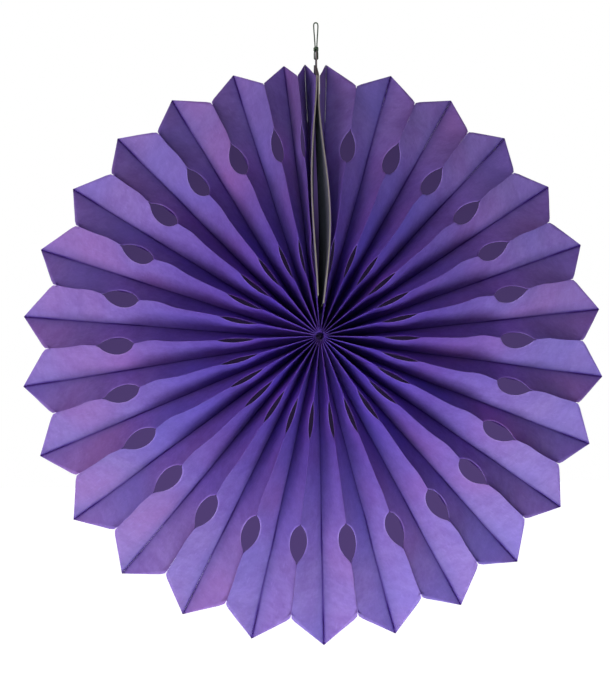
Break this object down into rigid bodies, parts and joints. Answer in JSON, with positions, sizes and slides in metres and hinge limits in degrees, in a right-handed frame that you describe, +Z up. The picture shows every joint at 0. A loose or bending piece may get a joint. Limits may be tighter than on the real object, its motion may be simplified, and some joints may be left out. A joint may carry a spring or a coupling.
{
  "type": "paper honeycomb fan",
  "caption": "Round hanging fan of creased tissue-paper leaves glued into diamond tubes around a hub, with scalloped rim, almond die-cut holes, two end boards and a thread loop.",
  "frame": {"origin": "top of the hanging loop, where a hook or pin carries it; the fan's hub is 175 mm straight below", "axes": "+Z up, +X right as seen from the front, the fan's axis along Y with its front towards -Y"},
  "size_m": [0.2987, 0.041, 0.325],
  "materials": {
    "tissue": "matt dyed tissue paper",
    "grey_board": "matt grey board",
    "thread": "dark green sewing thread"
  },
  "bodies": {
    "thread": {"hanging_thread": "thread"},
    "knot": {"thread_knot": "thread"},
    "board_right": {"end_board_right": "grey_board", "facing_right": "tissue", "leaf_01": "tissue"},
    "crease_01": {"leaf_02": "tissue", "leaf_03": "tissue"},
    "crease_02": {"leaf_04": "tissue", "leaf_05": "tissue"},
    "crease_03": {"leaf_06": "tissue", "leaf_07": "tissue"},
    "crease_04": {"leaf_08": "tissue", "leaf_09": "tissue"},
    "crease_05": {"leaf_10": "tissue", "leaf_11": "tissue"},
    "crease_06": {"leaf_12": "tissue", "leaf_13": "tissue"},
    "crease_07": {"leaf_14": "tissue", "leaf_15": "tissue"},
    "crease_08": {"leaf_16": "tissue", "leaf_17": "tissue"},
    "crease_09": {"leaf_18": "tissue", "leaf_19": "tissue"},
    "crease_10": {"leaf_20": "tissue", "leaf_21": "tissue"},
    "crease_11": {"leaf_22": "tissue", "leaf_23": "tissue"},
    "crease_12": {"leaf_24": "tissue", "leaf_25": "tissue"},
    "crease_13": {"leaf_26": "tissue", "leaf_27": "tissue"},
    "crease_14": {"leaf_28": "tissue", "leaf_29": "tissue"},
    "crease_15": {"leaf_30": "tissue", "leaf_31": "tissue"},
    "crease_16": {"leaf_32": "tissue", "leaf_33": "tissue"},
    "crease_17": {"leaf_34": "tissue", "leaf_35": "tissue"},
    "crease_18": {"leaf_36": "tissue", "leaf_37": "tissue"},
    "crease_19": {"leaf_38": "tissue", "leaf_39": "tissue"},
    "crease_20": {"leaf_40": "tissue", "leaf_41": "tissue"},
    "crease_21": {"leaf_42": "tissue", "leaf_43": "tissue"},
    "crease_22": {"leaf_44": "tissue", "leaf_45": "tissue"},
    "crease_23": {"leaf_46": "tissue", "leaf_47": "tissue"},
    "crease_24": {"leaf_48": "tissue", "leaf_49": "tissue"},
    "crease_25": {"leaf_50": "tissue", "leaf_51": "tissue"},
    "crease_26": {"leaf_52": "tissue", "leaf_53": "tissue"},
    "board_left": {"end_board_left": "grey_board", "facing_left": "tissue", "leaf_54": "tissue"}
  },
  "joints": [
    {"name": "twirl", "type": "hinge", "parent": "thread", "child": "knot", "pos_m": [0.00045, 0, 0], "axis": [0, 0, 1], "range_deg": [-180, 180]},
    {"name": "swing", "type": "hinge", "parent": "knot", "child": "board_right", "pos_m": [0.00045, 0, -0.0215], "axis": [1, 0, 0], "range_deg": [-75, 75]},
    {"name": "fan_fold", "type": "hinge", "parent": "board_right", "child": "board_left", "pos_m": [0, 0, -0.175], "axis": [0, 1, 0], "range_deg": [-336.17, 0]},
    {"name": "fold_01", "type": "hinge", "parent": "board_right", "child": "crease_01", "pos_m": [0, 0, -0.175], "axis": [0, 1, 0], "range_deg": [-6.61, 0], "deforming": ["leaf_02", "leaf_03"]},
    {"name": "fold_02", "type": "hinge", "parent": "board_right", "child": "crease_02", "pos_m": [0, 0, -0.175], "axis": [0, 1, 0], "range_deg": [-19.82, 0], "deforming": ["leaf_04", "leaf_05"]},
    {"name": "fold_03", "type": "hinge", "parent": "board_right", "child": "crease_03", "pos_m": [0, 0, -0.175], "axis": [0, 1, 0], "range_deg": [-33.03, 0], "deforming": ["leaf_06", "leaf_07"]},
    {"name": "fold_04", "type": "hinge", "parent": "board_right", "child": "crease_04", "pos_m": [0, 0, -0.175], "axis": [0, 1, 0], "range_deg": [-46.24, 0], "deforming": ["leaf_08", "leaf_09"]},
    {"name": "fold_05", "type": "hinge", "parent": "board_right", "child": "crease_05", "pos_m": [0, 0, -0.175], "axis": [0, 1, 0], "range_deg": [-59.45, 0], "deforming": ["leaf_10", "leaf_11"]},
    {"name": "fold_06", "type": "hinge", "parent": "board_right", "child": "crease_06", "pos_m": [0, 0, -0.175], "axis": [0, 1, 0], "range_deg": [-72.66, 0], "deforming": ["leaf_12", "leaf_13"]},
    {"name": "fold_07", "type": "hinge", "parent": "board_right", "child": "crease_07", "pos_m": [0, 0, -0.175], "axis": [0, 1, 0], "range_deg": [-85.87, 0], "deforming": ["leaf_14", "leaf_15"]},
    {"name": "fold_08", "type": "hinge", "parent": "board_right", "child": "crease_08", "pos_m": [0, 0, -0.175], "axis": [0, 1, 0], "range_deg": [-99.09, 0], "deforming": ["leaf_16", "leaf_17"]},
    {"name": "fold_09", "type": "hinge", "parent": "board_right", "child": "crease_09", "pos_m": [0, 0, -0.175], "axis": [0, 1, 0], "range_deg": [-112.3, 0], "deforming": ["leaf_18", "leaf_19"]},
    {"name": "fold_10", "type": "hinge", "parent": "board_right", "child": "crease_10", "pos_m": [0, 0, -0.175], "axis": [0, 1, 0], "range_deg": [-125.51, 0], "deforming": ["leaf_20", "leaf_21"]},
    {"name": "fold_11", "type": "hinge", "parent": "board_right", "child": "crease_11", "pos_m": [0, 0, -0.175], "axis": [0, 1, 0], "range_deg": [-138.72, 0], "deforming": ["leaf_22", "leaf_23"]},
    {"name": "fold_12", "type": "hinge", "parent": "board_right", "child": "crease_12", "pos_m": [0, 0, -0.175], "axis": [0, 1, 0], "range_deg": [-151.93, 0], "deforming": ["leaf_24", "leaf_25"]},
    {"name": "fold_13", "type": "hinge", "parent": "board_right", "child": "crease_13", "pos_m": [0, 0, -0.175], "axis": [0, 1, 0], "range_deg": [-165.14, 0], "deforming": ["leaf_26", "leaf_27"]},
    {"name": "fold_14", "type": "hinge", "parent": "board_right", "child": "crease_14", "pos_m": [0, 0, -0.175], "axis": [0, 1, 0], "range_deg": [-178.35, 0], "deforming": ["leaf_28", "leaf_29"]},
    {"name": "fold_15", "type": "hinge", "parent": "board_right", "child": "crease_15", "pos_m": [0, 0, -0.175], "axis": [0, 1, 0], "range_deg": [-191.57, 0], "deforming": ["leaf_30", "leaf_31"]},
    {"name": "fold_16", "type": "hinge", "parent": "board_right", "child": "crease_16", "pos_m": [0, 0, -0.175], "axis": [0, 1, 0], "range_deg": [-204.78, 0], "deforming": ["leaf_32", "leaf_33"]},
    {"name": "fold_17", "type": "hinge", "parent": "board_right", "child": "crease_17", "pos_m": [0, 0, -0.175], "axis": [0, 1, 0], "range_deg": [-217.99, 0], "deforming": ["leaf_34", "leaf_35"]},
    {"name": "fold_18", "type": "hinge", "parent": "board_right", "child": "crease_18", "pos_m": [0, 0, -0.175], "axis": [0, 1, 0], "range_deg": [-231.2, 0], "deforming": ["leaf_36", "leaf_37"]},
    {"name": "fold_19", "type": "hinge", "parent": "board_right", "child": "crease_19", "pos_m": [0, 0, -0.175], "axis": [0, 1, 0], "range_deg": [-244.41, 0], "deforming": ["leaf_38", "leaf_39"]},
    {"name": "fold_20", "type": "hinge", "parent": "board_right", "child": "crease_20", "pos_m": [0, 0, -0.175], "axis": [0, 1, 0], "range_deg": [-257.62, 0], "deforming": ["leaf_40", "leaf_41"]},
    {"name": "fold_21", "type": "hinge", "parent": "board_right", "child": "crease_21", "pos_m": [0, 0, -0.175], "axis": [0, 1, 0], "range_deg": [-270.83, 0], "deforming": ["leaf_42", "leaf_43"]},
    {"name": "fold_22", "type": "hinge", "parent": "board_right", "child": "crease_22", "pos_m": [0, 0, -0.175], "axis": [0, 1, 0], "range_deg": [-284.05, 0], "deforming": ["leaf_44", "leaf_45"]},
    {"name": "fold_23", "type": "hinge", "parent": "board_right", "child": "crease_23", "pos_m": [0, 0, -0.175], "axis": [0, 1, 0], "range_deg": [-297.26, 0], "deforming": ["leaf_46", "leaf_47"]},
    {"name": "fold_24", "type": "hinge", "parent": "board_right", "child": "crease_24", "pos_m": [0, 0, -0.175], "axis": [0, 1, 0], "range_deg": [-310.47, 0], "deforming": ["leaf_48", "leaf_49"]},
    {"name": "fold_25", "type": "hinge", "parent": "board_right", "child": "crease_25", "pos_m": [0, 0, -0.175], "axis": [0, 1, 0], "range_deg": [-323.68, 0], "deforming": ["leaf_50", "leaf_51"]},
    {"name": "fold_26", "type": "hinge", "parent": "board_right", "child": "crease_26", "pos_m": [0, 0, -0.175], "axis": [0, 1, 0], "range_deg": [-334.11, 0], "deforming": ["leaf_52", "leaf_53"]}
  ],
  "couplings": [
    {"joint": "fold_01", "follows": "fan_fold", "ratio": 0.01965},
    {"joint": "fold_02", "follows": "fan_fold", "ratio": 0.05895},
    {"joint": "fold_03", "follows": "fan_fold", "ratio": 0.09825},
    {"joint": "fold_04", "follows": "fan_fold", "ratio": 0.13755},
    {"joint": "fold_05", "follows": "fan_fold", "ratio": 0.17685},
    {"joint": "fold_06", "follows": "fan_fold", "ratio": 0.21615},
    {"joint": "fold_07", "follows": "fan_fold", "ratio": 0.25545},
    {"joint": "fold_08", "follows": "fan_fold", "ratio": 0.29475},
    {"joint": "fold_09", "follows": "fan_fold", "ratio": 0.33405},
    {"joint": "fold_10", "follows": "fan_fold", "ratio": 0.37335},
    {"joint": "fold_11", "follows": "fan_fold", "ratio": 0.41265},
    {"joint": "fold_12", "follows": "fan_fold", "ratio": 0.45195},
    {"joint": "fold_13", "follows": "fan_fold", "ratio": 0.49125},
    {"joint": "fold_14", "follows": "fan_fold", "ratio": 0.53055},
    {"joint": "fold_15", "follows": "fan_fold", "ratio": 0.56985},
    {"joint": "fold_16", "follows": "fan_fold", "ratio": 0.60915},
    {"joint": "fold_17", "follows": "fan_fold", "ratio": 0.64845},
    {"joint": "fold_18", "follows": "fan_fold", "ratio": 0.68775},
    {"joint": "fold_19", "follows": "fan_fold", "ratio": 0.72705},
    {"joint": "fold_20", "follows": "fan_fold", "ratio": 0.76635},
    {"joint": "fold_21", "follows": "fan_fold", "ratio": 0.80565},
    {"joint": "fold_22", "follows": "fan_fold", "ratio": 0.84495},
    {"joint": "fold_23", "follows": "fan_fold", "ratio": 0.88425},
    {"joint": "fold_24", "follows": "fan_fold", "ratio": 0.92355},
    {"joint": "fold_25", "follows": "fan_fold", "ratio": 0.96285},
    {"joint": "fold_26", "follows": "fan_fold", "ratio": 0.99387}
  ]
}
